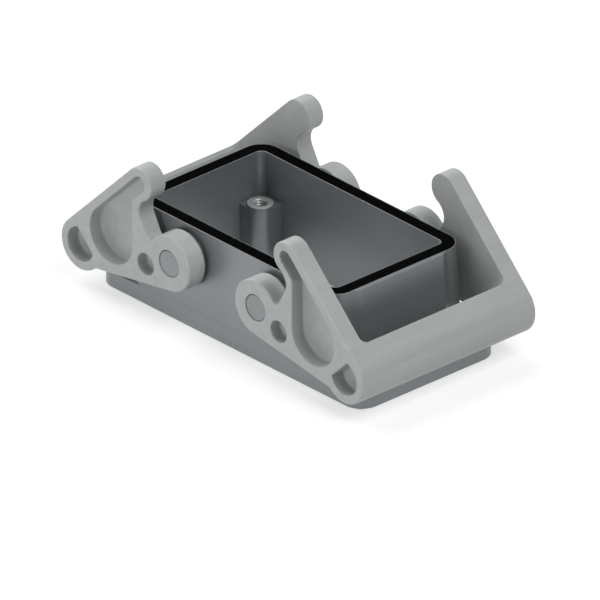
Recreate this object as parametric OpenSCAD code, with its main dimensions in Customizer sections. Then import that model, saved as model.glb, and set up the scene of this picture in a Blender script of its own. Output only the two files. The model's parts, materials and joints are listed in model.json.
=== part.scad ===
// Bulkhead mounted housing of a heavy duty rectangular connector, size 10, with
// two U shaped locking levers, both swung down to the open position.
// Millimetres. X runs along the length, Y across the width, Z up from the
// mounting face. The origin is the middle of the mounting face.

/* [Walls] */
// Length over the two end walls
rim_l = 73.2; // [70:0.2:90]
// Width over the two long walls
rim_w = 43.6; // [42:0.2:54]
// Height of the rim above the mounting face
rim_h = 26.9; // [25:0.1:34]
// Plan radius of the outside corners
rim_r = 5.5; // [4.5:0.1:7]
// How far each wall leans out from the rim down to the mounting face
draft = 1.4; // [0.8:0.1:1.6]
// Wall thickness
wall = 3.8; // [3.6:0.1:4.4]
// Plan radius of the inside corners
cavity_r = 2; // [1:0.1:3]
// How far each wall leans in from the rim down to the mounting face
inner_draft = 1; // [0.5:0.1:1.5]
// How far the raised panel stands out of each end wall
pad_t = 1; // [0.6:0.1:1.6]
// Width of the flat of that panel
pad_w = 27.2; // [18:0.2:30]
// Width of the slope at each side of that panel
pad_slope = 1.8; // [1:0.1:2.4]

/* [Mounting flange] */
// Length of the flange
flange_l = 95; // [94:0.5:115]
// Width of the flange
flange_w = 46.4; // [46:0.2:56]
// Thickness of the flange
flange_t = 4.4; // [3.5:0.1:6]
// Plan radius of the flange corners
flange_r = 5.3; // [3:0.1:6]
// Distance between the mounting holes along the length
mount_dx = 83; // [82:0.5:84]
// Distance between the mounting holes across the width
mount_dy = 32; // [24:0.5:34]
// Diameter of the mounting holes, for M4 screws
mount_d = 4.5; // [4.2:0.1:4.8]

/* [Insert posts] */
// Distance between the insert screws along the length
insert_dx = 57; // [54:0.5:58.5]
// Distance between the insert screws across the width
insert_dy = 27; // [24:0.5:28.5]
// Height of the posts that the insert is screwed to
post_h = 15.1; // [13:0.1:18]
// Radius of a post about its screw
post_r = 3.35; // [3:0.05:4]
// Height of the raised seat ring on a post
seat_h = 0.5; // [0.3:0.1:1]
// Core diameter of the M4 insert threads
insert_core_d = 3.3; // [2.9:0.1:3.5]
// Depth of the insert threads
insert_depth = 12; // [8:0.5:12.5]
// Width of the chamfer at the mouth of a thread
mouth = 0.4; // [0.2:0.1:0.8]

/* [Seals] */
// Width of the flat rim seal
seal_w = 3.2; // [3:0.05:3.3]
// Thickness of the flat of the rim seal
seal_t = 0.7; // [0.5:0.05:1.2]
// How far the rim seal stands above the rim
seal_proud = 0.15; // [0.1:0.05:0.4]
// Metal left outside the rim seal
seal_lip = 0.35; // [0.3:0.05:0.4]
// Width of the tongue under the rim seal
tongue_w = 1.5; // [1:0.1:2]
// Depth of the tongue under the rim seal
tongue_d = 1.8; // [1:0.1:2.6]
// Width of the seal under the flange
base_seal_w = 2; // [1.4:0.1:2.4]
// Thickness of the seal under the flange
base_seal_t = 1.4; // [1:0.1:2.2]
// Distance from the cavity to the seal under the flange
base_seal_in = 0.9; // [0.6:0.1:1.2]
// Side clearance of a seal in its groove
groove_fit = 0.05; // [0.03:0.01:0.1]

/* [Lever pivots] */
// Distance of a pivot in from its end wall
pivot_inset = 21; // [18:0.5:22]
// Distance of the pivots below the rim
pivot_drop = 8.2; // [8:0.1:10]
// Diameter of a pivot peg
peg_d = 7; // [5.5:0.1:7.6]
// Radial running clearance of a lever on its peg
peg_fit = 0.05; // [0.03:0.01:0.09]
// How far a peg's end lies inside the lever's outer face
peg_sunk = 0.2; // [0.1:0.05:0.6]
// Chamfer on a peg's end
peg_chamfer = 0.3; // [0.2:0.05:0.5]
// Radius of the wear pad around a peg
wear_r = 6.2; // [5.5:0.1:6.5]
// How far a wear pad's face stands out past the rim
wear_t = 1.4; // [1.2:0.05:2]

/* [Levers] */
// Angle between a lever's open and locked positions
open_angle = 45; // [40:1:50]
// Distance from the pivot to the middle of the handle, along the length
handle_reach = 32; // [31:0.5:38]
// Radius of the handle's nose
nose_r = 6.9; // [6.4:0.1:8]
// Gap between the open handle and the flange
rest_gap = 0.4; // [0.2:0.1:1]
// Thickness of the handle bar, from its inner face to the end of its nose
bar_t = 11.7; // [10:0.1:12.5]
// Gap between a lever's boss and the wear pad
boss_gap = 0.25; // [0.2:0.05:0.5]
// Height of a boss on a lever's inner face
boss_h = 0.35; // [0.3:0.05:1]
// Radius of a boss
boss_r = 7.4; // [6.6:0.1:7.6]
// Thickness of a lever's arm
arm_t = 5; // [5:0.1:7]
// Radius of the hook's end
hook_r = 4.35; // [4:0.05:5]
// Distance of the hook's end past the pivot
hook_over = 4.95; // [4:0.05:6]
// Radius of the throat that takes the hood's peg
throat_r = 4.1; // [3.8:0.05:4.3]
// Lean of the throat from the square of the lever's outer face
throat_lean = 16.7; // [14:0.1:20]
// Radius at the waist between the throat and the boss
waist_r = 1.2; // [0.8:0.1:1.6]
// Radius of the lower edge as it passes the handle
lower_r = 5.4; // [5:0.1:6]
// Radius of the blend from the lower edge into the handle's nose
blend_r = 4; // [3:0.1:5]
// Radius of the two inner corners of the U
corner_r = 2; // [1:0.1:3]
// Width of the rim around the pockets
pocket_rim = 2.35; // [2:0.05:2.6]
// Depth of the pockets
pocket_d = 3.9; // [2:0.1:4]
// Radius of the large end of the side pocket
pocket_r = 7.6; // [7:0.1:8]
// Distance of the blind hole from the pivot
blind_reach = 9.05; // [8.5:0.05:9.5]
// Direction of the blind hole below the level, in the open position
blind_angle = 21.7; // [18:0.1:26]
// Diameter of the blind hole
blind_d = 5.8; // [5:0.1:6]
// Depth of the blind hole
blind_depth = 3.4; // [2:0.1:4]

/* [Hidden] */
$fn = 96;

cut = 1;
root = 0.6;
// Overlap that makes a curve cross the line it would otherwise only touch.
bite = 0.01;

cavity_l = rim_l - 2 * wall;
cavity_w = rim_w - 2 * wall;

seal_out_l = rim_l - 2 * seal_lip;
seal_out_w = rim_w - 2 * seal_lip;
seal_out_r = rim_r - seal_lip;
seal_top = rim_h + seal_proud;
seal_bed = seal_top - seal_t;
tongue_in = (seal_w - tongue_w) / 2;

base_seal_out = wall - base_seal_in - base_seal_w;

pivot_x = rim_l / 2 - pivot_inset;
pivot_z = rim_h - pivot_drop;
boss_in = rim_w / 2 + wear_t + boss_gap;
arm_in = boss_in + boss_h;
arm_out = arm_in + arm_t;
peg_end = arm_out - peg_sunk;

// The lever's outline is drawn in its locked position: its pivot is the origin,
// its outer face is level and its handle is to the right.
nose_drop = pivot_z - flange_t - rest_gap - nose_r;
nose = turned([handle_reach, -nose_drop], open_angle);
face = nose.y + nose_r;
hook = [-hook_over, face - hook_r];
down = [sin(throat_lean), -cos(throat_lean)];
side = [cos(throat_lean), sin(throat_lean)];
throat = hook + (hook_r + throat_r - bite) * down;
bar_x = nose.x + nose_r - bar_t;
bar_low = nose.y - sqrt(nose_r * nose_r - (nose.x - bar_x) * (nose.x - bar_x));

// The throat's straight side starts at side_top and runs down to the waist.
side_top = throat + (throat_r - bite) * side;
side_gap = side_top * side;
waist_off = side_gap - waist_r;
waist_run = sqrt((boss_r + waist_r) * (boss_r + waist_r) - waist_off * waist_off);
waist = waist_off * side - waist_run * down;

// The lower edge is the common tangent of the boss and a circle about the nose.
reach = norm(nose);
edge_angle = atan2(nose.y, nose.x) - acos((boss_r - lower_r) / reach);
edge = [cos(edge_angle), sin(edge_angle)];
along = [-edge.y, edge.x];
blend_off = lower_r - bite + blend_r;
blend_run = sqrt((nose_r + blend_r) * (nose_r + blend_r) - blend_off * blend_off);
blend = nose + blend_off * edge - blend_run * along;

// The side pocket keeps its rim to the outer face and to the throat.
slot_r = hook_r - pocket_rim;
lean = [sin(open_angle), cos(open_angle)];
pocket_y = face - pocket_rim - pocket_r;
pocket_x = throat.x
    + (pocket_r + throat_r + pocket_rim - (pocket_y - throat.y) * lean.y) / lean.x;
pocket = [pocket_x, pocket_y];
knee_y = hook.y - slot_r + bite;
knee = [pocket.x - (pocket_r - bite + (knee_y - pocket.y) * lean.y) / lean.x, knee_y];

blind = turned(blind_reach * [cos(blind_angle), -sin(blind_angle)], open_angle);

function turned(p, a) = [p.x * cos(a) - p.y * sin(a), p.x * sin(a) + p.y * cos(a)];

// Rectangle with round corners, centred on the origin.
module round_rect(l, w, r) {
    square([l - 2 * r, w], center = true);
    square([l, w - 2 * r], center = true);
    for (x = [-1, 1], y = [-1, 1])
        translate([x * (l / 2 - r), y * (w / 2 - r)]) circle(r);
}

// Rectangular band with round corners, from an outer outline inwards.
module band(l, w, r, width) {
    difference() {
        round_rect(l, w, r);
        round_rect(l - 2 * width, w - 2 * width, r - width);
    }
}

module at(p) {
    translate([p.x, p.y]) children();
}

// Puts children at the four corners of a rectangle.
module four(dx, dy) {
    for (x = [-1, 1], y = [-1, 1]) translate([x * dx / 2, y * dy / 2, 0]) children();
}

// Stands a lever outline upright, from one distance along Y to another.
module upright(from, to) {
    translate([0, to, 0]) rotate([90, 0, 0]) linear_extrude(to - from) children();
}

module shell() {
    linear_extrude(flange_t) round_rect(flange_l, flange_w, flange_r);
    hull() four(rim_l - 2 * rim_r, rim_w - 2 * rim_r)
        cylinder(r1 = rim_r + draft, r2 = rim_r, h = rim_h, $fn = 64);
    for (s = [0, 1]) mirror([s, 0, 0]) end_panel();
}

// The panel leans with its end wall and is cut off level with the rim.
module end_panel() {
    foot = pad_w / 2 + pad_slope * (pad_t + root) / pad_t;
    intersection() {
        translate([rim_l / 2, 0, rim_h]) rotate([0, -atan(draft / rim_h), 0])
            translate([0, 0, -rim_h]) linear_extrude(rim_h + cut)
                polygon([[-root, -foot], [pad_t, -pad_w / 2], [pad_t, pad_w / 2], [-root, foot]]);
        translate([0, -foot - cut, 0]) cube([rim_l, 2 * (foot + cut), rim_h]);
    }
}

// The space inside the walls, open at both ends.
module cavity() {
    hull() {
        translate([0, 0, -cut]) linear_extrude(cut)
            round_rect(cavity_l - 2 * inner_draft, cavity_w - 2 * inner_draft, cavity_r, $fn = 48);
        translate([0, 0, rim_h]) linear_extrude(cut)
            round_rect(cavity_l, cavity_w, cavity_r, $fn = 48);
    }
}

// One post, filling the corner of the cavity behind its screw.
module post_plan() {
    past_x = (cavity_l - insert_dx) / 2 + root;
    past_y = (cavity_w - insert_dy) / 2 + root;
    circle(post_r);
    translate([0, -post_r]) square([past_x, past_y + post_r]);
    translate([-post_r, 0]) square([past_x + post_r, past_y]);
}

module posts() {
    for (x = [0, 1], y = [0, 1]) mirror([x, 0, 0]) mirror([0, y, 0])
        translate([insert_dx / 2, insert_dy / 2, 0]) {
            linear_extrude(post_h) post_plan();
            cylinder(r = post_r, h = post_h + seat_h);
        }
}

module insert_threads() {
    top = post_h + seat_h;
    four(insert_dx, insert_dy) {
        translate([0, 0, top - insert_depth]) cylinder(d = insert_core_d, h = insert_depth + cut);
        translate([0, 0, top - mouth])
            cylinder(d1 = insert_core_d, d2 = insert_core_d + 4 * mouth, h = 2 * mouth);
    }
}

module pegs() {
    for (x = [-1, 1], y = [0, 1]) mirror([0, y, 0]) translate([x * pivot_x, 0, pivot_z])
        rotate([-90, 0, 0]) {
            translate([0, 0, rim_w / 2 - root]) cylinder(r = wear_r, h = wear_t + root);
            translate([0, 0, rim_w / 2 - root]) peg();
        }
}

module peg() {
    h = peg_end - rim_w / 2 + root;
    cylinder(d = peg_d, h = h - peg_chamfer);
    translate([0, 0, h - peg_chamfer])
        cylinder(d1 = peg_d, d2 = peg_d - 2 * peg_chamfer, h = peg_chamfer);
}

module seal_grooves() {
    fit = groove_fit;
    translate([0, 0, seal_bed]) linear_extrude(seal_t + cut)
        band(seal_out_l + 2 * fit, seal_out_w + 2 * fit, seal_out_r + fit, seal_w + 2 * fit);
    translate([0, 0, seal_bed - tongue_d]) linear_extrude(tongue_d + cut)
        tongue_plan(fit);
    translate([0, 0, -cut]) linear_extrude(base_seal_t + cut) base_seal_plan(fit);
}

module tongue_plan(fit) {
    in = tongue_in - fit;
    band(seal_out_l - 2 * in, seal_out_w - 2 * in, seal_out_r - in, tongue_w + 2 * fit);
}

module base_seal_plan(fit) {
    in = base_seal_out - fit;
    band(rim_l - 2 * in, rim_w - 2 * in, rim_r - in, base_seal_w + 2 * fit);
}

// The casting: flange, walls, posts and pegs in one piece.
module housing() {
    color("#858a8b") difference() {
        union() {
            difference() {
                shell();
                cavity();
            }
            posts();
            pegs();
        }
        insert_threads();
        seal_grooves();
        translate([0, 0, -cut]) four(mount_dx, mount_dy) cylinder(d = mount_d, h = flange_t + 2 * cut);
    }
}

module rim_seal() {
    color("#101012") {
        translate([0, 0, seal_bed]) linear_extrude(seal_t)
            band(seal_out_l, seal_out_w, seal_out_r, seal_w);
        translate([0, 0, seal_bed - tongue_d]) linear_extrude(tongue_d) tongue_plan(0);
    }
}

module base_seal() {
    color("#101012") linear_extrude(base_seal_t) base_seal_plan(0);
}

// Side view of an arm, with its hook, throat, boss and the end of the handle.
module arm_plan() {
    top = face - bite;
    difference() {
        union() {
            at(hook) circle(hook_r);
            circle(boss_r);
            at(nose) circle(nose_r);
            polygon([
                [hook.x, top], [nose.x, top], nose,
                nose + (blend - nose) * nose_r / norm(blend - nose), blend - blend_r * edge,
                (boss_r - bite) * edge, [0, 0],
                waist * boss_r / norm(waist), waist + waist_r * side, side_top, throat, hook
            ]);
        }
        at(throat) circle(throat_r);
        at(waist) circle(waist_r + bite);
        at(blend) circle(blend_r + bite);
    }
}

// Side view of the handle bar between the arms.
module bar_plan() {
    top = face - bite;
    difference() {
        union() {
            at(nose) circle(nose_r);
            polygon([[bar_x - cut, top], [nose.x, top], nose, [bar_x - cut, nose.y]]);
        }
        translate([bar_x - 2 * nose_r, nose.y - 2 * nose_r]) square([2 * nose_r, 4 * nose_r]);
    }
}

module side_pocket_plan() {
    top = hook.y + slot_r - bite;
    at(hook) circle(slot_r);
    at(pocket) circle(pocket_r);
    polygon([
        pocket - (pocket_r - bite) * lean, knee, [hook.x, knee.y],
        [hook.x, top], [pocket.x, top], pocket
    ]);
}

module end_pocket_plan() {
    difference() {
        at(nose) circle(nose_r - pocket_rim);
        translate([bar_x + pocket_rim - 2 * nose_r, nose.y - nose_r]) square([2 * nose_r, 2 * nose_r]);
    }
}

// Fillet in an inner corner of the U, from just above the bar's lower corner.
module corner_fillet() {
    translate([bar_x - corner_r, arm_in - corner_r, bar_low + 5 * bite])
        linear_extrude(face - bar_low) difference() {
            square(corner_r + root);
            circle(corner_r + bite);
        }
}

module lever_half() {
    difference() {
        union() {
            upright(arm_in, arm_out) arm_plan();
            upright(boss_in, arm_out) circle(boss_r);
            upright(0, arm_out) bar_plan();
            intersection() {
                corner_fillet();
                upright(0, arm_out) union() {
                    arm_plan();
                    bar_plan();
                }
            }
        }
        upright(boss_in - cut, arm_out + cut) circle(peg_d / 2 + peg_fit);
        upright(arm_out - pocket_d, arm_out + cut) side_pocket_plan();
        upright(arm_out - pocket_d, arm_out + cut) end_pocket_plan();
        upright(arm_out - blind_depth, arm_out + cut) at(blind) circle(d = blind_d);
    }
}

// One lever, in its open position at the right end.
module lever() {
    color("#aaafac") translate([pivot_x, 0, pivot_z]) rotate([0, open_angle, 0]) {
        lever_half();
        mirror([0, 1, 0]) lever_half();
    }
}

module lever_left() {
    mirror([1, 0, 0]) lever();
}

module lever_right() {
    lever();
}

housing();
rim_seal();
base_seal();
lever_left();
lever_right();
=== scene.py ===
"""Looks of a rectangular connector's bulkhead housing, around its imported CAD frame."""

import json
import math

import bmesh
import bpy
from mathutils import Matrix, Vector

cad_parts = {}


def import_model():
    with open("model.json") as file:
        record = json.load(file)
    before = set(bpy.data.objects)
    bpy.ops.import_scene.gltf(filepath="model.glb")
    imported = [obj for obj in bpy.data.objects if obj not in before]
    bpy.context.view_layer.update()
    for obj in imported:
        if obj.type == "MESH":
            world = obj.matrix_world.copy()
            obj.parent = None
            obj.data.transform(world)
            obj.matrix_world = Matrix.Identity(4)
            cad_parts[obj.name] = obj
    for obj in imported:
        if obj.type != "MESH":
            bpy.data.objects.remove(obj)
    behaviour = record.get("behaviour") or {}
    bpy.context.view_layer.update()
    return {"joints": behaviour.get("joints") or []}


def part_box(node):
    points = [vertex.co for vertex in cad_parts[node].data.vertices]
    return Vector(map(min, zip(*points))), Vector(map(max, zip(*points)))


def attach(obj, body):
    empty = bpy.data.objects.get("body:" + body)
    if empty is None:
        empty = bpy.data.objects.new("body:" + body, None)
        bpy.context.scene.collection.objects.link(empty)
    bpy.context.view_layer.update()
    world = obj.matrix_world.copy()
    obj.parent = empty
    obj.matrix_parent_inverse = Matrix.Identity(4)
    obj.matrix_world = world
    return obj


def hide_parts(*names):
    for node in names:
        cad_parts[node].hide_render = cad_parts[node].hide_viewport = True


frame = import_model()

MM = 0.001


def in_mm(place):
    """A place in the frame, in millimetres."""
    return [round(value / MM, 3) for value in place]


# Sizes in millimetres that the frame gives: how far its nodes reach, and the lever's pivot.
flange_end, PEG_END, RIM_H = in_mm(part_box("housing")[1])
FLANGE_L = 2 * flange_end
ARM_OUT = in_mm(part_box("lever_right")[1])[1]
SEAL_TOP = in_mm(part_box("rim_seal")[1])[2]
right_swing = next(joint for joint in frame["joints"] if joint["name"] == "right_lever_swing")
PIVOT_X, _, PIVOT_Z = in_mm(right_swing["pos_m"])

# The other sizes in millimetres, as the CAD source has them.
RIM_L, RIM_W, RIM_R = 73.2, 43.6, 5.5
DRAFT = 1.4
WALL, CAVITY_R, INNER_DRAFT = 3.8, 2.0, 1.0
PANEL_T, PANEL_W, PANEL_SLOPE = 1.0, 27.2, 1.8
FLANGE_W, FLANGE_T, FLANGE_R = 46.4, 4.4, 5.3
MOUNT_DX, MOUNT_DY, MOUNT_D = 83.0, 32.0, 4.5
INSERT_DX, INSERT_DY = 57.0, 27.0
POST_H, POST_R, SEAT_H, SEAT_IN = 15.1, 3.35, 0.5, 0.05
THREAD_CORE_R, THREAD_R, THREAD_PITCH, THREAD_DEPTH = 1.65, 1.95, 0.7, 12.0
MOUTH = 0.4
SEAL_W, SEAL_T, SEAL_LIP = 3.2, 0.7, 0.35
TONGUE_W, TONGUE_D = 1.5, 1.8
TONGUE_IN = SEAL_LIP + (SEAL_W - TONGUE_W) / 2
BASE_SEAL_W, BASE_SEAL_T, BASE_SEAL_EDGE = 2.0, 1.4, 0.9
BASE_SEAL_IN = WALL - BASE_SEAL_EDGE - BASE_SEAL_W
GROOVE_FIT = 0.05
PEG_R, PEG_FIT, PEG_CHAMFER = 3.5, 0.05, 0.3
WEAR_R, WEAR_FACE = 6.2, 23.2
OPEN_ANGLE = math.radians(45)
NOSE_REACH, NOSE_DROP, NOSE_R = 32.0, 7.0, 6.9
BOSS_IN, ARM_IN, BOSS_R = 23.45, 23.8, 7.4
HOOK_R, HOOK_OVER = 4.35, 4.95
THROAT_R, THROAT_LEAN = 4.1, math.radians(16.7)
WAIST_R, LOWER_R, BLEND_R, CORNER_R = 1.2, 5.4, 4.0, 2.0
BAR_T = 11.7
POCKET_RIM, POCKET_D, POCKET_R = 2.35, 3.9, 7.6
BLIND_REACH, BLIND_ANGLE, BLIND_R, BLIND_D = 9.05, math.radians(21.7), 2.9, 3.4

# Soft edges that the CAD solids leave sharp.
LEVER_ROUND = 0.5
LEVER_INNER_ROUND = 0.12
LEVER_RIM_ROUND = 0.3
POCKET_FLOOR_ROUND = 0.5
BOSS_ROUND = 0.15
FLANGE_ROUND, FLANGE_UNDER_ROUND = 0.25, 0.2
HOLE_ROUND = 0.3
LIP_ROUND = 0.08
FOOT_H, FOOT_FIT, FOOT_STEPS = 2.0, 0.01, 5
PANEL_SOFT, PANEL_SOFT_STEPS = 0.25, 4
POST_ROUND, SEAT_ROUND = 0.3, 0.15
PAD_ROUND = 0.2
PEG_CROWN_DOWN, PEG_CROWN_IN = 0.09, 0.12
SEAL_ROUND, SEAL_UNDER_ROUND, TONGUE_ROUND = 0.2, 0.05, 0.2
BASE_SEAL_ROUND, BASE_SEAL_TOP_ROUND = 0.3, 0.1

# A cutter runs out past the face it cuts, and a joined piece reaches into what it stands on.
PAST, MOUTH_PAST = 1.0, 0.3
OVERLAP = 0.6

# The signs of the two plan directions at the four corners.
SIGNS = [(x, y) for x in (-1, 1) for y in (-1, 1)]

# How finely curves are drawn, and the limits that tell one kind of edge or face from another.
QUARTER = math.pi / 2
ARC_STEP, UNDER_STEP, SMALL_STEP, WAIST_STEP = (math.radians(step) for step in (5, 7, 10, 15))
ROUND_STEPS = 5
THREAD_COLUMNS, ROWS_PER_TURN = 32, 6
LEAST_SPREAD = 0.5
SHARP_ANGLE = math.radians(32)
BEVEL_ANGLE, BEVEL_NEAR = math.radians(50), 0.01
FACES_UP = 0.9

# The camera of the photograph: azimuth, elevation, and the width and middle of its view in metres.
AZIMUTH, ELEVATION = math.radians(47.4), math.radians(27.87)
VIEW_WIDTH = 0.14659
AIM_RIGHT, AIM_UP = 0.00037, 0.00403
CAMERA_FAR = 0.6

# The stage, in metres, with the floor's brightness to the camera and in reflections, and the painted shade
# that lowers it under the housing.
FLOOR_SIZE, FLOOR_GAP = 3.0, 0.0002
FLOOR_GLOW, FLOOR_MIRRORED = 0.6, 0.85
# Painted shade: under the housing's footprint the floor's glow, to the camera and in reflections, drops to
# these strengths. The drop starts and is full this far inside the flange's edge.
PAINTED_SHADE_GLOW, PAINTED_SHADE_MIRRORED = 0.2, 0.6
PAINTED_SHADE_START, PAINTED_SHADE_FULL = 1.0 * MM, 2.0 * MM
WORLD_GLOW, WORLD_MIRRORED = 0.02, 0.1

# Square lamps: name, azimuth and elevation in degrees, size in metres, power in watts.
LAMP_DISTANCE = 0.9
LAMPS = [("front", 3, 7, 0.36, 2.7), ("right", 94, 54, 0.6, 4.7), ("left", -90, 40, 1.2, 9.0)]

# Most of a noise lies this far to both sides of its middle; a grain is spread wider.
NOISE_MIDDLE, NOISE_SPREAD, GRAIN_SPREAD = 0.5, 0.2, 0.25


# ---------------------------------------------------------------- outlines

def on_circle(centre, radius, angle):
    return Vector((centre[0] + radius * math.cos(angle), centre[1] + radius * math.sin(angle)))


def arc(centre, radius, start, end, step=ARC_STEP):
    """Points of an arc from one angle to the other, both ends included."""
    count = max(3, math.ceil(abs(end - start) / step))
    return [on_circle(centre, radius, start + (end - start) * i / count) for i in range(count + 1)]


def circle(centre, radius):
    return arc(centre, radius, 0, 2 * math.pi)[:-1]


def angle_of(v):
    return math.atan2(v[1], v[0])


def after(angle, start):
    """The same direction as angle, counted on from start."""
    return start + (angle - start) % (2 * math.pi)


def before(angle, start):
    """The same direction as angle, counted back from start."""
    return start - (start - angle) % (2 * math.pi)


def round_rect(length, width, radius):
    cx, cy = length / 2 - radius, width / 2 - radius
    corners = [(cx, cy), (-cx, cy), (-cx, -cy), (cx, -cy)]
    points = []
    for i, corner in enumerate(corners):
        points += arc(corner, radius, i * QUARTER, (i + 1) * QUARTER)
    return points


def inset(points, distance):
    """The outline moved inwards; a negative distance moves it outwards."""
    moved = []
    for i, p in enumerate(points):
        a = (p - points[i - 1]).normalized()
        b = (points[(i + 1) % len(points)] - p).normalized()
        inward = Vector((-a.y - b.y, a.x + b.x)).normalized()
        spread = max(LEAST_SPREAD, inward.dot(Vector((-a.y, a.x))))
        moved.append(p + inward * distance / spread)
    return moved


def lower_round(height, radius, steps=ROUND_STEPS):
    """Levels (height, inset) of a rounded edge at the lower end of a prism."""
    angles = [QUARTER * i / steps for i in range(steps + 1)]
    return [(height + radius * (1 - math.cos(t)), radius * (1 - math.sin(t))) for t in angles]


def upper_round(height, radius, steps=ROUND_STEPS):
    """Levels of a rounded edge at the upper end."""
    levels = lower_round(0, radius, steps)
    return [(height - h, d) for h, d in reversed(levels)]


def flared_mouth(height, radius, steps=ROUND_STEPS):
    """Levels of a cutter that leaves a rounded rim, and runs out past the face."""
    angles = [QUARTER * i / steps for i in range(steps + 1)]
    flare = [(height - radius * (1 - math.sin(t)), -radius * (1 - math.cos(t))) for t in angles]
    return flare + [(height + PAST, -radius)]


# ---------------------------------------------------------------- meshes

def new_object(name, data):
    obj = bpy.data.objects.new(name, data)
    bpy.context.scene.collection.objects.link(obj)
    return obj


def mesh_object(name, bm):
    """A bmesh in millimetres becomes an object in metres."""
    bmesh.ops.recalc_face_normals(bm, faces=bm.faces)
    bmesh.ops.scale(bm, vec=(MM, MM, MM), verts=bm.verts)
    mesh = bpy.data.meshes.new(name)
    bm.to_mesh(mesh)
    bm.free()
    return new_object(name, mesh)


def strip(bm, low, high):
    """Faces between two rows of vertices."""
    for a, b, c, d in zip(low, low[1:], high[1:], high):
        bm.faces.new((a, b, c, d))


def skin(bm, low, high):
    """Faces all the way round, between two closed rows of vertices."""
    strip(bm, low + low[:1], high + high[:1])


def loft(name, rings, place=None):
    """A closed solid through rings of equally many points."""
    bm = bmesh.new()
    rows = [[bm.verts.new(place @ Vector(p) if place else p) for p in ring] for ring in rings]
    for low, high in zip(rows, rows[1:]):
        skin(bm, low, high)
    bm.faces.new(list(reversed(rows[0])))
    bm.faces.new(rows[-1])
    return mesh_object(name, bm)


def prism(name, points, levels, place=None):
    """A solid that stands on an outline, with levels (height, inset)."""
    rings = [[(p.x, p.y, height) for p in inset(points, d)] for height, d in levels]
    return loft(name, rings, place)


def combine(base, tool, operation="DIFFERENCE"):
    """Cuts the tool from the base or joins it, and removes the tool."""
    modifier = base.modifiers.new("combine", "BOOLEAN")
    modifier.operation = operation
    modifier.solver = "MANIFOLD"
    modifier.object = tool
    bpy.context.view_layer.update()
    result = bpy.data.meshes.new_from_object(base.evaluated_get(bpy.context.evaluated_depsgraph_get()))
    base.modifiers.remove(modifier)
    old = base.data
    base.data = result
    bpy.data.meshes.remove(old)
    remove(tool)


def join(base, tool):
    combine(base, tool, "UNION")


def remove(obj):
    mesh = obj.data
    bpy.data.objects.remove(obj)
    bpy.data.meshes.remove(mesh)


def transformed_copy(obj, name, matrix):
    copy = new_object(name, obj.data.copy())
    copy.data.transform(matrix)
    if matrix.determinant() < 0:
        copy.data.flip_normals()
    return copy


def four_corners(dx, dy):
    return [(x * dx / 2, y * dy / 2) for x, y in SIGNS]


def shade(obj):
    """Smooth shading that keeps the flats flat."""
    mesh = obj.data
    mesh.polygons.foreach_set("use_smooth", [True] * len(mesh.polygons))
    mesh.set_sharp_from_angle(angle=SHARP_ANGLE)
    obj.modifiers.new("flat_faces", "WEIGHTED_NORMAL").keep_sharp = True


def along_y(sign):
    """Stands a prism drawn in (x, z, height) on its side: heights run out along Y."""
    return Matrix(((1, 0, 0, 0), (0, 0, sign, 0), (0, 1, 0, 0), (0, 0, 0, 1)))


# ---------------------------------------------------------------- lever outline
# Drawn in the locked pose: the pivot is the origin, the outer face is level and
# the handle is to the right.

def turned(v, angle):
    c, s = math.cos(angle), math.sin(angle)
    return Vector((v[0] * c - v[1] * s, v[0] * s + v[1] * c))


ORIGIN = Vector((0, 0))
nose = turned((NOSE_REACH, -NOSE_DROP), OPEN_ANGLE)
face = nose.y + NOSE_R
hook = Vector((-HOOK_OVER, face - HOOK_R))
down = Vector((math.sin(THROAT_LEAN), -math.cos(THROAT_LEAN)))
side = Vector((math.cos(THROAT_LEAN), math.sin(THROAT_LEAN)))
throat = hook + (HOOK_R + THROAT_R) * down
waist_off = throat.dot(side) + THROAT_R - WAIST_R
waist = waist_off * side - math.sqrt((BOSS_R + WAIST_R) ** 2 - waist_off ** 2) * down
edge_angle = angle_of(nose) - math.acos((BOSS_R - LOWER_R) / nose.length)
edge = Vector((math.cos(edge_angle), math.sin(edge_angle)))
blend_off = LOWER_R + BLEND_R
blend_run = math.sqrt((NOSE_R + BLEND_R) ** 2 - blend_off ** 2)
blend = nose + blend_off * edge - blend_run * Vector((-edge.y, edge.x))
bar_x = nose.x + NOSE_R - BAR_T
bar_low = nose.y - math.sqrt(NOSE_R ** 2 - (nose.x - bar_x) ** 2)


def nose_arc():
    """Outer side of the nose, from the blend up to the outer face."""
    start = angle_of(blend - nose)
    return arc(nose, NOSE_R, start, after(QUARTER, start))


def free_outline():
    """The arm's outline from the inner corner of the outer face round to the nose."""
    hook_end = after(angle_of(down), QUARTER)
    side_angle = angle_of(side)
    boss_start = angle_of(waist)
    boss_end = after(edge_angle, boss_start)
    blend_start = angle_of(-edge)
    points = arc(hook, HOOK_R, QUARTER, hook_end)
    points += arc(throat, THROAT_R, angle_of(-down), side_angle)[1:]
    points += arc(waist, WAIST_R, side_angle, before(angle_of(-waist), side_angle), WAIST_STEP)
    points += arc(ORIGIN, BOSS_R, boss_start, boss_end)[1:]
    points += arc(blend, BLEND_R, blend_start, before(angle_of(nose - blend), blend_start), SMALL_STEP)
    return points


def under_arc():
    """Underside of the handle bar, from the nose's blend back to its inner face."""
    start = angle_of(blend - nose)
    end = before(angle_of(Vector((bar_x, bar_low)) - nose), start)
    return arc(nose, NOSE_R, start, end, UNDER_STEP)


def corner_arc():
    """Plan of the inner corner of the U, from the arm's inner face to the bar's."""
    centre = (bar_x - CORNER_R, ARM_IN - CORNER_R)
    return arc(centre, CORNER_R, QUARTER, 0, SMALL_STEP)


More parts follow.
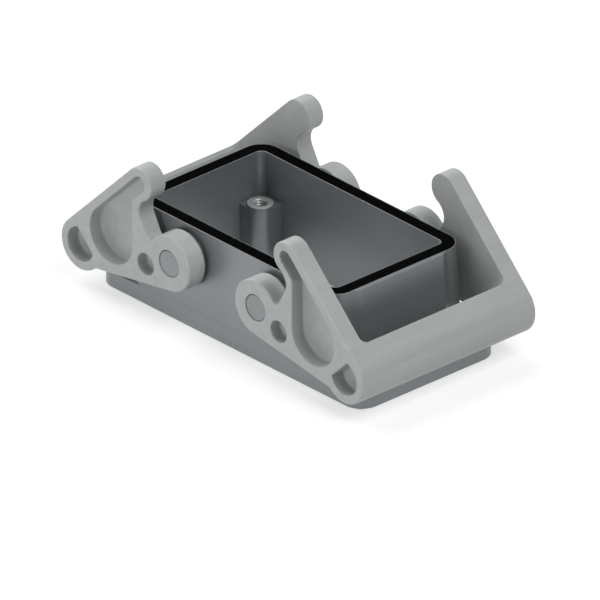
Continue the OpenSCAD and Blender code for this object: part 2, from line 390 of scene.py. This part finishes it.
def pocket_outline():
    """The large pocket: round at the foot of the arm, and a narrow slot up in the hook."""
    slot_r = HOOK_R - POCKET_RIM
    lean = Vector((math.sin(OPEN_ANGLE), math.cos(OPEN_ANGLE)))
    y = face - POCKET_RIM - POCKET_R
    x = throat.x + (POCKET_R + THROAT_R + POCKET_RIM - (y - throat.y) * lean.y) / lean.x
    knee_y = hook.y - slot_r
    knee = Vector((x - (POCKET_R + (knee_y - y) * lean.y) / lean.x, knee_y))
    points = arc(hook, slot_r, QUARTER, 3 * QUARTER, SMALL_STEP)
    points.append(knee)
    start = angle_of(-lean)
    return points + arc((x, y), POCKET_R, start, after(QUARTER, start))


def end_pocket_outline():
    """The small pocket in the end of the bar, which follows the nose."""
    radius = NOSE_R - POCKET_RIM
    left = bar_x + POCKET_RIM
    lift = math.sqrt(radius ** 2 - (nose.x - left) ** 2)
    start = math.atan2(-lift, left - nose.x)
    return arc(nose, radius, start, after(math.atan2(lift, left - nose.x), start))


# ---------------------------------------------------------------- lever

def row(bm, points, y):
    """Vertices of an outline in (x, z), at a place along Y."""
    return [bm.verts.new((p.x, y, p.y)) for p in points]


def lever_blank():
    """The lever without its bosses, pockets and bores; the outer edges are round."""
    bm = bmesh.new()
    free, outer_nose, under, corner = free_outline(), nose_arc(), under_arc(), corner_arc()
    outline = free + outer_nose[1:]
    ends = []
    for s in (1, -1):
        rows = [row(bm, inset(outline, d), s * y) for y, d in upper_round(ARM_OUT, LEVER_ROUND)]
        for low, high in zip(rows, rows[1:]):
            skin(bm, low, high)
        bm.faces.new(rows[-1])
        ends.append({"wall": rows[0], "inner": row(bm, free, s * ARM_IN)})
    for s, end in zip((1, -1), ends):
        strip(bm, end["wall"][:len(free)], end["inner"])
        end["under"] = row(bm, under[1:], s * ARM_IN)
        end["top"] = [bm.verts.new((x, s * y, face)) for x, y in corner]
        end["low"] = [bm.verts.new((x, s * y, bar_low)) for x, y in corner]
        strip(bm, end["low"], end["top"])
        bm.faces.new([end["under"][-1]] + end["low"])
        bm.faces.new(end["inner"] + end["under"] + [end["low"][0], end["top"][0]])
    # What is left runs across the bar, between the two ends.
    far, near = ends
    tip = len(free) - 1
    nose_far, nose_near = far["wall"][tip:], near["wall"][tip:]
    bm.faces.new([nose_far[0], nose_far[1], nose_near[1], nose_near[0], near["inner"][-1], far["inner"][-1]])
    strip(bm, nose_far[1:], nose_near[1:])
    strip(bm, [far["inner"][-1]] + far["under"][:-1], [near["inner"][-1]] + near["under"][:-1])
    bm.faces.new([far["under"][-2], far["under"][-1], far["low"][-1],
                  near["low"][-1], near["under"][-1], near["under"][-2]])
    bm.faces.new([far["low"][-1], far["top"][-1], near["top"][-1], near["low"][-1]])
    bm.faces.new([nose_far[-1], far["wall"][0], far["inner"][0]] + far["top"]
                 + list(reversed(near["top"])) + [near["inner"][0], near["wall"][0], nose_near[-1]])
    round_inner_edges(bm)
    return mesh_object("lever_blank", bm)


def round_inner_edges(bm):
    """Softens the convex edges along the inside of the U, except low ones from the blend on."""
    bmesh.ops.recalc_face_normals(bm, faces=bm.faces)
    edges = []
    for e in bm.edges:
        inside = all(abs(v.co.y) < ARM_IN + BEVEL_NEAR for v in e.verts)
        before_blend = all((v.co.x - blend.x) * edge.y - (v.co.z - blend.y) * edge.x > BEVEL_NEAR
                           or v.co.z > bar_low for v in e.verts)
        if inside and before_blend and e.calc_face_angle_signed() > BEVEL_ANGLE:
            edges.append(e)
    bmesh.ops.bevel(bm, geom=edges, offset=LEVER_INNER_ROUND, offset_type="OFFSET", segments=3,
                    profile=0.5, affect="EDGES", clamp_overlap=False)


def lever_solid():
    """The whole lever in the locked pose, with its pivot at the origin."""
    solid = lever_blank()
    blind = turned(BLIND_REACH * Vector((math.cos(BLIND_ANGLE), -math.sin(BLIND_ANGLE))), OPEN_ANGLE)
    pockets = [(pocket_outline(), POCKET_D), (end_pocket_outline(), POCKET_D),
               (circle(blind, BLIND_R), BLIND_D)]
    mouth = flared_mouth(ARM_OUT, LEVER_RIM_ROUND, steps=4)
    boss_levels = lower_round(BOSS_IN, BOSS_ROUND, steps=2) + [(ARM_IN + PAST, 0)]
    bore_levels = [(BOSS_IN - PAST, 0)] + mouth
    for s in (1, -1):
        place = along_y(s)
        join(solid, prism("boss", circle(ORIGIN, BOSS_R), boss_levels, place))
        for outline, depth in pockets:
            floor = lower_round(ARM_OUT - depth, POCKET_FLOOR_ROUND, steps=4)
            combine(solid, prism("pocket", outline, floor + mouth, place))
        combine(solid, prism("bore", circle(ORIGIN, PEG_R + PEG_FIT), bore_levels, place))
    return solid


def build_levers():
    """Both levers, opened about their pivots; the left one is the mirror image."""
    solid = lever_solid()
    pivot = Matrix.Translation((PIVOT_X * MM, 0, PIVOT_Z * MM)) @ Matrix.Rotation(OPEN_ANGLE, 4, "Y")
    mirror = Matrix.Diagonal((-1, 1, 1, 1))
    levers = []
    for side_name, matrix in (("right", pivot), ("left", mirror @ pivot)):
        lever = transformed_copy(solid, f"{side_name}_lever", matrix)
        shade(lever)
        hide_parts(f"lever_{side_name}")
        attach(lever, f"{side_name}_lever")
        levers.append(lever)
    remove(solid)
    return levers


# ---------------------------------------------------------------- housing

def within_rim(distance):
    """The rim's outline, moved inwards."""
    return round_rect(RIM_L - 2 * distance, RIM_W - 2 * distance, RIM_R - distance)


def band(name, start, thick, levels):
    """A ring that starts inside the rim's outline; levels (height, inset) round both of its sides."""
    outer, inner = within_rim(start), within_rim(start + thick)
    rings = [[(p.x, p.y, h) for p in inset(outer, d)] for h, d in levels]
    rings += [[(p.x, p.y, h) for p in inset(inner, -d)] for h, d in reversed(levels)]
    bm = bmesh.new()
    rows = [[bm.verts.new(p) for p in ring] for ring in rings]
    for low, high in zip(rows, rows[1:] + rows[:1]):
        skin(bm, low, high)
    return mesh_object(name, bm)


def lean_at(height):
    """How far the leaning walls stand out beyond the rim's outline."""
    return DRAFT * (RIM_H - height) / RIM_H


def walls():
    """The outer side of the walls, which flare into the flange's long sides at their foot."""
    spread = (FLANGE_W - RIM_W) / 2 - FOOT_FIT
    flare = spread - lean_at(FLANGE_T)
    levels = [(FLANGE_T / 2, -spread)]
    for i in range(FOOT_STEPS + 1):
        t = i / FOOT_STEPS
        height = FLANGE_T + FOOT_H * t
        levels.append((height, -lean_at(height) - flare * (1 - t) ** 2))
    top = RIM_H - LIP_ROUND
    levels += [(top, -lean_at(top))] + upper_round(RIM_H, LIP_ROUND, steps=3)[1:]
    return prism("walls", within_rim(0), levels)


def end_panel(s):
    """The raised panel, which leans with its end wall."""
    half = PANEL_W / 2
    foot = half + PANEL_SLOPE * (PANEL_T + OVERLAP) / PANEL_T
    corners = [(-OVERLAP, -foot), (PANEL_T, -half), (PANEL_T, half), (-OVERLAP, foot)]
    shape = soft_corners([Vector(corner) for corner in corners], PANEL_SOFT)
    rings = []
    for height, d in [(FLANGE_T / 2, 0)] + upper_round(RIM_H, LIP_ROUND, steps=3):
        shift = RIM_L / 2 + lean_at(height)
        rings.append([(s * (p.x + shift), p.y, height) for p in inset(shape, d)])
    return loft("panel", rings)


def cavity():
    """The space inside the walls, which lean in towards the mounting face."""
    length, width = RIM_L - 2 * WALL, RIM_W - 2 * WALL
    rings = []
    for height, d in [(-PAST, 0), (0, 0)] + flared_mouth(RIM_H, LIP_ROUND, steps=3):
        lean = INNER_DRAFT * max(0, min(1, (RIM_H - height) / RIM_H))
        plan = inset(round_rect(length - 2 * lean, width - 2 * lean, CAVITY_R), d)
        rings.append([(p.x, p.y, height) for p in plan])
    return loft("cavity", rings)


def soft_corners(points, radius):
    """Rounds each corner of an outline with a few short facets, which read as a soft edge."""
    result = []
    for i, p in enumerate(points):
        a = (points[i - 1] - p).normalized()
        b = (points[(i + 1) % len(points)] - p).normalized()
        for k in range(PANEL_SOFT_STEPS + 1):
            t = k / PANEL_SOFT_STEPS
            result.append(p + radius * (a * (1 - t) ** 2 + b * t ** 2))
    return result


def post_outline(sx, sy):
    """A round front edge, with the block behind it running into both walls."""
    past_x = (RIM_L / 2 - WALL) - INSERT_DX / 2 + OVERLAP
    past_y = (RIM_W / 2 - WALL) - INSERT_DY / 2 + OVERLAP
    points = [Vector((past_x, past_y)), Vector((-POST_R, past_y))]
    points += arc((0, 0), POST_R, 2 * QUARTER, 3 * QUARTER)
    points.append(Vector((past_x, -POST_R)))
    placed = [Vector((sx * (INSERT_DX / 2 + p.x), sy * (INSERT_DY / 2 + p.y))) for p in points]
    return placed if sx * sy > 0 else placed[::-1]


def thread_cutter(centre):
    """A tapped hole with a chamfered mouth, the thread as a true helix."""
    top = POST_H + SEAT_H
    rows = int(THREAD_DEPTH / THREAD_PITCH * ROWS_PER_TURN)
    heights = [top - THREAD_DEPTH + THREAD_DEPTH * k / rows for k in range(rows + 1)] + [top + MOUTH_PAST]
    rings = []
    for height in heights:
        ring = []
        for i in range(THREAD_COLUMNS):
            phase = (height / THREAD_PITCH - i / THREAD_COLUMNS) % 1
            depth = (THREAD_R - THREAD_CORE_R) * abs(2 * phase - 1) if height > heights[0] else 0
            radius = max(THREAD_CORE_R + depth, THREAD_CORE_R + MOUTH + (height - top))
            ring.append((*on_circle(centre, radius, 2 * math.pi * i / THREAD_COLUMNS), height))
        rings.append(ring)
    return loft("thread", rings)


def add_posts(solid):
    """The four insert posts, each with its seat ring and its tapped hole."""
    levels = [(0, 0)] + upper_round(POST_H, POST_ROUND, steps=4)
    seat_levels = [(POST_H - PAST, 0)] + upper_round(POST_H + SEAT_H, SEAT_ROUND, steps=3)
    for sx, sy in SIGNS:
        centre = (sx * INSERT_DX / 2, sy * INSERT_DY / 2)
        join(solid, prism("post", post_outline(sx, sy), levels))
        join(solid, prism("seat", circle(centre, POST_R - SEAT_IN), seat_levels))
        combine(solid, thread_cutter(centre))


def add_pegs(solid):
    """The four pegs with their wear pads; the end of a peg is chamfered and slightly crowned."""
    start = RIM_W / 2 - OVERLAP
    pad_levels = [(start, 0)] + upper_round(WEAR_FACE, PAD_ROUND, steps=3)
    peg_levels = [(start, 0), (PEG_END - PEG_CHAMFER, 0), (PEG_END - PEG_CROWN_DOWN, PEG_CROWN_IN),
                  (PEG_END, PEG_CHAMFER)]
    for sx, sy in SIGNS:
        centre = (sx * PIVOT_X, PIVOT_Z)
        join(solid, prism("pad", circle(centre, WEAR_R), pad_levels, along_y(sy)))
        join(solid, prism("peg", circle(centre, PEG_R), peg_levels, along_y(sy)))


def cut_grooves(solid):
    """The beds of both seals, with a fit all round."""
    bed, wider = SEAL_TOP - SEAL_T, 2 * GROOVE_FIT
    combine(solid, band("groove", SEAL_LIP - GROOVE_FIT, SEAL_W + wider, [(bed, 0), (RIM_H + PAST, 0)]))
    combine(solid, band("tongue", TONGUE_IN - GROOVE_FIT, TONGUE_W + wider,
                        [(bed - TONGUE_D, 0), (bed + PAST / 2, 0)]))
    combine(solid, band("base_groove", BASE_SEAL_IN - GROOVE_FIT, BASE_SEAL_W + wider,
                        [(-PAST, 0), (BASE_SEAL_T, 0)]))


def build_housing():
    """The casting: flange, walls, end panels, posts, pegs, and the beds of the seals."""
    flange_levels = lower_round(0, FLANGE_UNDER_ROUND, steps=2) + upper_round(FLANGE_T, FLANGE_ROUND)
    solid = prism("housing_shell", round_rect(FLANGE_L, FLANGE_W, FLANGE_R), flange_levels)
    join(solid, walls())
    for s in (-1, 1):
        join(solid, end_panel(s))
    combine(solid, cavity())
    add_posts(solid)
    add_pegs(solid)
    cut_grooves(solid)
    hole_levels = [(-PAST, 0)] + flared_mouth(FLANGE_T, HOLE_ROUND, steps=3)
    for centre in four_corners(MOUNT_DX, MOUNT_DY):
        combine(solid, prism("mount_hole", circle(centre, MOUNT_D / 2), hole_levels))
    shade(solid)
    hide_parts("housing")
    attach(solid, "base")
    return solid


def build_seals():
    """The rim seal with its tongue, and the base seal."""
    bed = SEAL_TOP - SEAL_T
    flat_levels = lower_round(bed, SEAL_UNDER_ROUND, steps=2) + upper_round(SEAL_TOP, SEAL_ROUND, steps=4)
    tongue_levels = lower_round(bed - TONGUE_D, TONGUE_ROUND, steps=3) + [(bed + SEAL_T / 2, 0)]
    base_levels = (lower_round(0, BASE_SEAL_ROUND, steps=4)
                   + upper_round(BASE_SEAL_T, BASE_SEAL_TOP_ROUND, steps=2))
    rim = band("rim_seal_ring", SEAL_LIP, SEAL_W, flat_levels)
    join(rim, band("tongue", TONGUE_IN, TONGUE_W, tongue_levels))
    base = band("base_seal_ring", BASE_SEAL_IN, BASE_SEAL_W, base_levels)
    for seal, node in ((rim, "rim_seal"), (base, "base_seal")):
        shade(seal)
        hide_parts(node)
        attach(seal, "base")
    return rim, base


# ---------------------------------------------------------------- materials

class Nodes:
    """Short names for building a material's node tree."""

    def __init__(self, name, base_hex, specular):
        self.material = bpy.data.materials.new(name)
        self.material.use_nodes = True
        self.tree = self.material.node_tree
        self.shader = self.tree.nodes["Principled BSDF"]
        self.colour = linear(base_hex)
        self.shader.inputs["Specular IOR Level"].default_value = specular
        self.coords = self.tree.nodes.new("ShaderNodeTexCoord").outputs["Object"]

    def add(self, kind, **inputs):
        node = self.tree.nodes.new(kind)
        for key, value in inputs.items():
            node.inputs[key].default_value = value
        return node

    def link(self, a, b):
        self.tree.links.new(a, b)

    def noise(self, scale, detail=3.0, roughness=0.5, coords=None):
        node = self.add("ShaderNodeTexNoise", Scale=scale, Detail=detail, Roughness=roughness)
        self.link(coords or self.coords, node.inputs["Vector"])
        return node.outputs["Fac"]

    def drawn_out(self, x, y, z):
        """Coordinates that stretch a pattern where a factor is below one."""
        node = self.add("ShaderNodeMapping", Scale=(x, y, z))
        self.link(self.coords, node.inputs["Vector"])
        return node.outputs["Vector"]

    def span(self, value, low, high, to_low, to_high):
        node = self.tree.nodes.new("ShaderNodeMapRange")
        for key, number in zip(("From Min", "From Max", "To Min", "To Max"), (low, high, to_low, to_high)):
            node.inputs[key].default_value = number
        self.link(value, node.inputs["Value"])
        return node.outputs["Result"]

    def vary(self, noise, low, high, spread=NOISE_SPREAD):
        """A factor that follows a noise from one value to another."""
        return self.span(noise, NOISE_MIDDLE - spread, NOISE_MIDDLE + spread, low, high)

    def reckon(self, operation, a, b):
        node = self.tree.nodes.new("ShaderNodeMath")
        node.operation = operation
        self.link(a, node.inputs[0])
        self.link(b, node.inputs[1])
        return node.outputs[0]

    def times(self, a, b):
        return self.reckon("MULTIPLY", a, b)

    def plus(self, a, b):
        return self.reckon("ADD", a, b)

    def tint(self, factor):
        """The base colour, lighter or darker by a factor that varies over the surface."""
        node = self.tree.nodes.new("ShaderNodeVectorMath")
        node.operation = "SCALE"
        node.inputs[0].default_value = self.colour
        self.link(factor, node.inputs["Scale"])
        self.link(node.outputs[0], self.shader.inputs["Base Color"])

    def rough(self, noise, low, high):
        """The surface's roughness, which follows a noise."""
        self.link(self.vary(noise, low, high), self.shader.inputs["Roughness"])

    def bump(self, height, strength, distance, below=None):
        node = self.add("ShaderNodeBump", Strength=strength, Distance=distance)
        self.link(height, node.inputs["Height"])
        if below:
            self.link(below, node.inputs["Normal"])
        return node.outputs["Normal"]

    def relief(self, normal):
        self.link(normal, self.shader.inputs["Normal"])


def linear(base_hex):
    """The linear values of an sRGB colour."""
    channels = [int(base_hex[i:i + 2], 16) / 255 for i in (0, 2, 4)]
    return [c / 12.92 if c <= 0.04045 else ((c + 0.055) / 1.055) ** 2.4 for c in channels]


def coated_metal():
    """Fine powder coat over the casting: a faint orange peel and a finer grain."""
    n = Nodes("housing_coat", "818688", specular=0.6)
    n.shader.inputs["Metallic"].default_value = 0.5
    peel, grain, cloud = n.noise(900, 2), n.noise(4200, 2), n.noise(60, 4)
    n.tint(n.times(n.vary(cloud, 0.97, 1.03), n.vary(grain, 0.95, 1.05, GRAIN_SPREAD)))
    n.rough(peel, 0.36, 0.46)
    below = n.bump(peel, strength=0.25, distance=0.00006)
    n.relief(n.bump(grain, strength=0.2, distance=0.00002, below=below))
    return n.material


def bare_metal():
    """Cut aluminium, where the coat is machined away: fine marks in a bright surface."""
    n = Nodes("machined_metal", "bec0c0", specular=0.5)
    n.shader.inputs["Metallic"].default_value = 0.35
    mark, grain = n.noise(2600, 2, 0.5, n.drawn_out(1, 0.3, 1)), n.noise(900, 3)
    n.tint(n.vary(grain, 0.88, 1.06))
    n.rough(mark, 0.42, 0.52)
    n.relief(n.bump(mark, strength=0.3, distance=0.00001))
    return n.material


def moulded_plastic():
    """Light grey moulding with an even, finely eroded surface."""
    n = Nodes("lever_plastic", "b9bdbb", specular=0.5)
    flow, grain, fine = n.noise(45, 4), n.noise(1600, 3, 0.6), n.noise(5200, 2)
    streak = n.noise(420, 3, 0.6, n.drawn_out(1, 0.06, 1))
    mottle = n.times(n.vary(flow, 0.975, 1.02), n.vary(streak, 0.93, 1.04))
    n.tint(n.times(mottle, n.vary(grain, 0.95, 1.05, GRAIN_SPREAD)))
    n.rough(grain, 0.42, 0.54)
    below = n.bump(grain, strength=0.25, distance=0.00004)
    n.relief(n.bump(fine, strength=0.2, distance=0.00002, below=below))
    return n.material


def black_rubber():
    """Matt black rubber with a slightly uneven skin."""
    n = Nodes("seal_rubber", "030304", specular=0.02)
    skin, grain = n.noise(350, 3), n.noise(3800, 2)
    n.tint(n.vary(skin, 0.8, 1.3))
    n.rough(grain, 0.75, 0.95)
    n.relief(n.bump(grain, strength=0.3, distance=0.00002))
    return n.material


def dress(obj, *materials):
    obj.data.materials.clear()
    for material in materials:
        obj.data.materials.append(material)


def machined(housing, slot):
    """The seat rings and threads of the posts take the material in that slot."""
    screws = [Vector((x, y)) for x, y in four_corners(INSERT_DX, INSERT_DY)]
    for polygon in housing.data.polygons:
        place = polygon.center / MM
        off = min((place.xy - screw).length for screw in screws)
        ring = off < POST_R and place.z > POST_H + SEAT_H / 2
        in_bore = off < THREAD_R + MOUTH and place.z > POST_H + SEAT_H - THREAD_DEPTH - MOUTH
        if ring or in_bore and polygon.normal.z < FACES_UP:
            polygon.material_index = slot


# ---------------------------------------------------------------- stage

def painted_floor_shade(n, open_glow, shaded_glow):
    """Painted shade on the floor: its glow falls off under the housing, where little light reaches."""
    place = n.add("ShaderNodeSeparateXYZ")
    n.link(n.coords, place.inputs[0])
    inside = None
    for axis, size in (("X", FLANGE_L), ("Y", FLANGE_W)):
        border = size / 2 * MM
        far = n.times(place.outputs[axis], place.outputs[axis])
        near = n.span(far, (border - PAINTED_SHADE_FULL) ** 2, (border - PAINTED_SHADE_START) ** 2, 1, 0)
        inside = n.times(inside, near) if inside else near
    return n.span(inside, 0, 1, open_glow, shaded_glow)


def white_floor():
    """White ground: seen by the camera and in reflections it glows, with painted shade in that glow under
    the housing, and it keeps the shadow.
    """
    bm = bmesh.new()
    bmesh.ops.create_grid(bm, x_segments=1, y_segments=1, size=FLOOR_SIZE / MM)
    floor = mesh_object("floor", bm)
    floor.location.z = -FLOOR_GAP
    n = Nodes("floor_white", "c8c8c8", specular=0.0)
    fleck = n.noise(300, 2)
    n.tint(n.vary(fleck, 0.99, 1.01))
    n.rough(fleck, 0.85, 0.95)
    path = n.add("ShaderNodeLightPath")
    # Painted shade: both glows, to the camera and in reflections, are lowered under the housing.
    glow = n.plus(n.times(path.outputs["Is Camera Ray"], painted_floor_shade(n, FLOOR_GLOW, PAINTED_SHADE_GLOW)),
                  n.times(path.outputs["Is Glossy Ray"], painted_floor_shade(n, FLOOR_MIRRORED, PAINTED_SHADE_MIRRORED)))
    emission = n.add("ShaderNodeEmission", Color=(1, 1, 1, 1))
    both = n.add("ShaderNodeAddShader")
    n.link(glow, emission.inputs["Strength"])
    n.link(n.shader.outputs[0], both.inputs[0])
    n.link(emission.outputs[0], both.inputs[1])
    n.link(both.outputs[0], n.tree.nodes["Material Output"].inputs["Surface"])
    dress(floor, n.material)


def towards(azimuth, elevation):
    """The direction from the object to a lamp or the camera."""
    return Vector((math.sin(azimuth) * math.cos(elevation),
                   -math.cos(azimuth) * math.cos(elevation), math.sin(elevation)))


def area_light(name, azimuth, elevation, size, power):
    light = bpy.data.lights.new(name, "AREA")
    light.shape = "SQUARE"
    light.size = size
    light.energy = power
    obj = new_object(name, light)
    obj.location = LAMP_DISTANCE * towards(math.radians(azimuth), math.radians(elevation))
    obj.rotation_euler = (-obj.location).to_track_quat("-Z", "Y").to_euler()


def world_light(strength, mirrored):
    """A surround that the camera sees white, with its own strengths as light and in reflections."""
    world = bpy.data.worlds.new("studio")
    bpy.context.scene.world = world
    world.use_nodes = True
    tree = world.node_tree
    background = tree.nodes["Background"]
    background.inputs["Color"].default_value = (1, 1, 1, 1)
    path = tree.nodes.new("ShaderNodeLightPath")
    reflected = tree.nodes.new("ShaderNodeMix")
    reflected.inputs["A"].default_value = strength
    reflected.inputs["B"].default_value = mirrored
    seen = tree.nodes.new("ShaderNodeMix")
    seen.inputs["B"].default_value = 1.0
    tree.links.new(path.outputs["Is Glossy Ray"], reflected.inputs["Factor"])
    tree.links.new(path.outputs["Is Camera Ray"], seen.inputs["Factor"])
    tree.links.new(reflected.outputs["Result"], seen.inputs["A"])
    tree.links.new(seen.outputs["Result"], background.inputs["Strength"])


def camera():
    data = bpy.data.cameras.new("camera")
    data.type = "ORTHO"
    data.ortho_scale = VIEW_WIDTH
    obj = new_object("camera", data)
    to_camera = towards(AZIMUTH, ELEVATION)
    right = Vector((math.cos(AZIMUTH), math.sin(AZIMUTH), 0))
    up = to_camera.cross(right)
    obj.location = to_camera * CAMERA_FAR + right * AIM_RIGHT + up * AIM_UP
    obj.rotation_euler = to_camera.to_track_quat("Z", "Y").to_euler()
    bpy.context.scene.camera = obj


# ---------------------------------------------------------------- scene

housing = build_housing()
seals = build_seals()
levers = build_levers()
dress(housing, coated_metal(), bare_metal())
machined(housing, 1)
plastic = moulded_plastic()
for lever in levers:
    dress(lever, plastic)
rubber = black_rubber()
for seal in seals:
    dress(seal, rubber)
white_floor()
for lamp in LAMPS:
    area_light(*lamp)
world_light(WORLD_GLOW, WORLD_MIRRORED)
camera()
bpy.context.scene.view_settings.view_transform = "Standard"
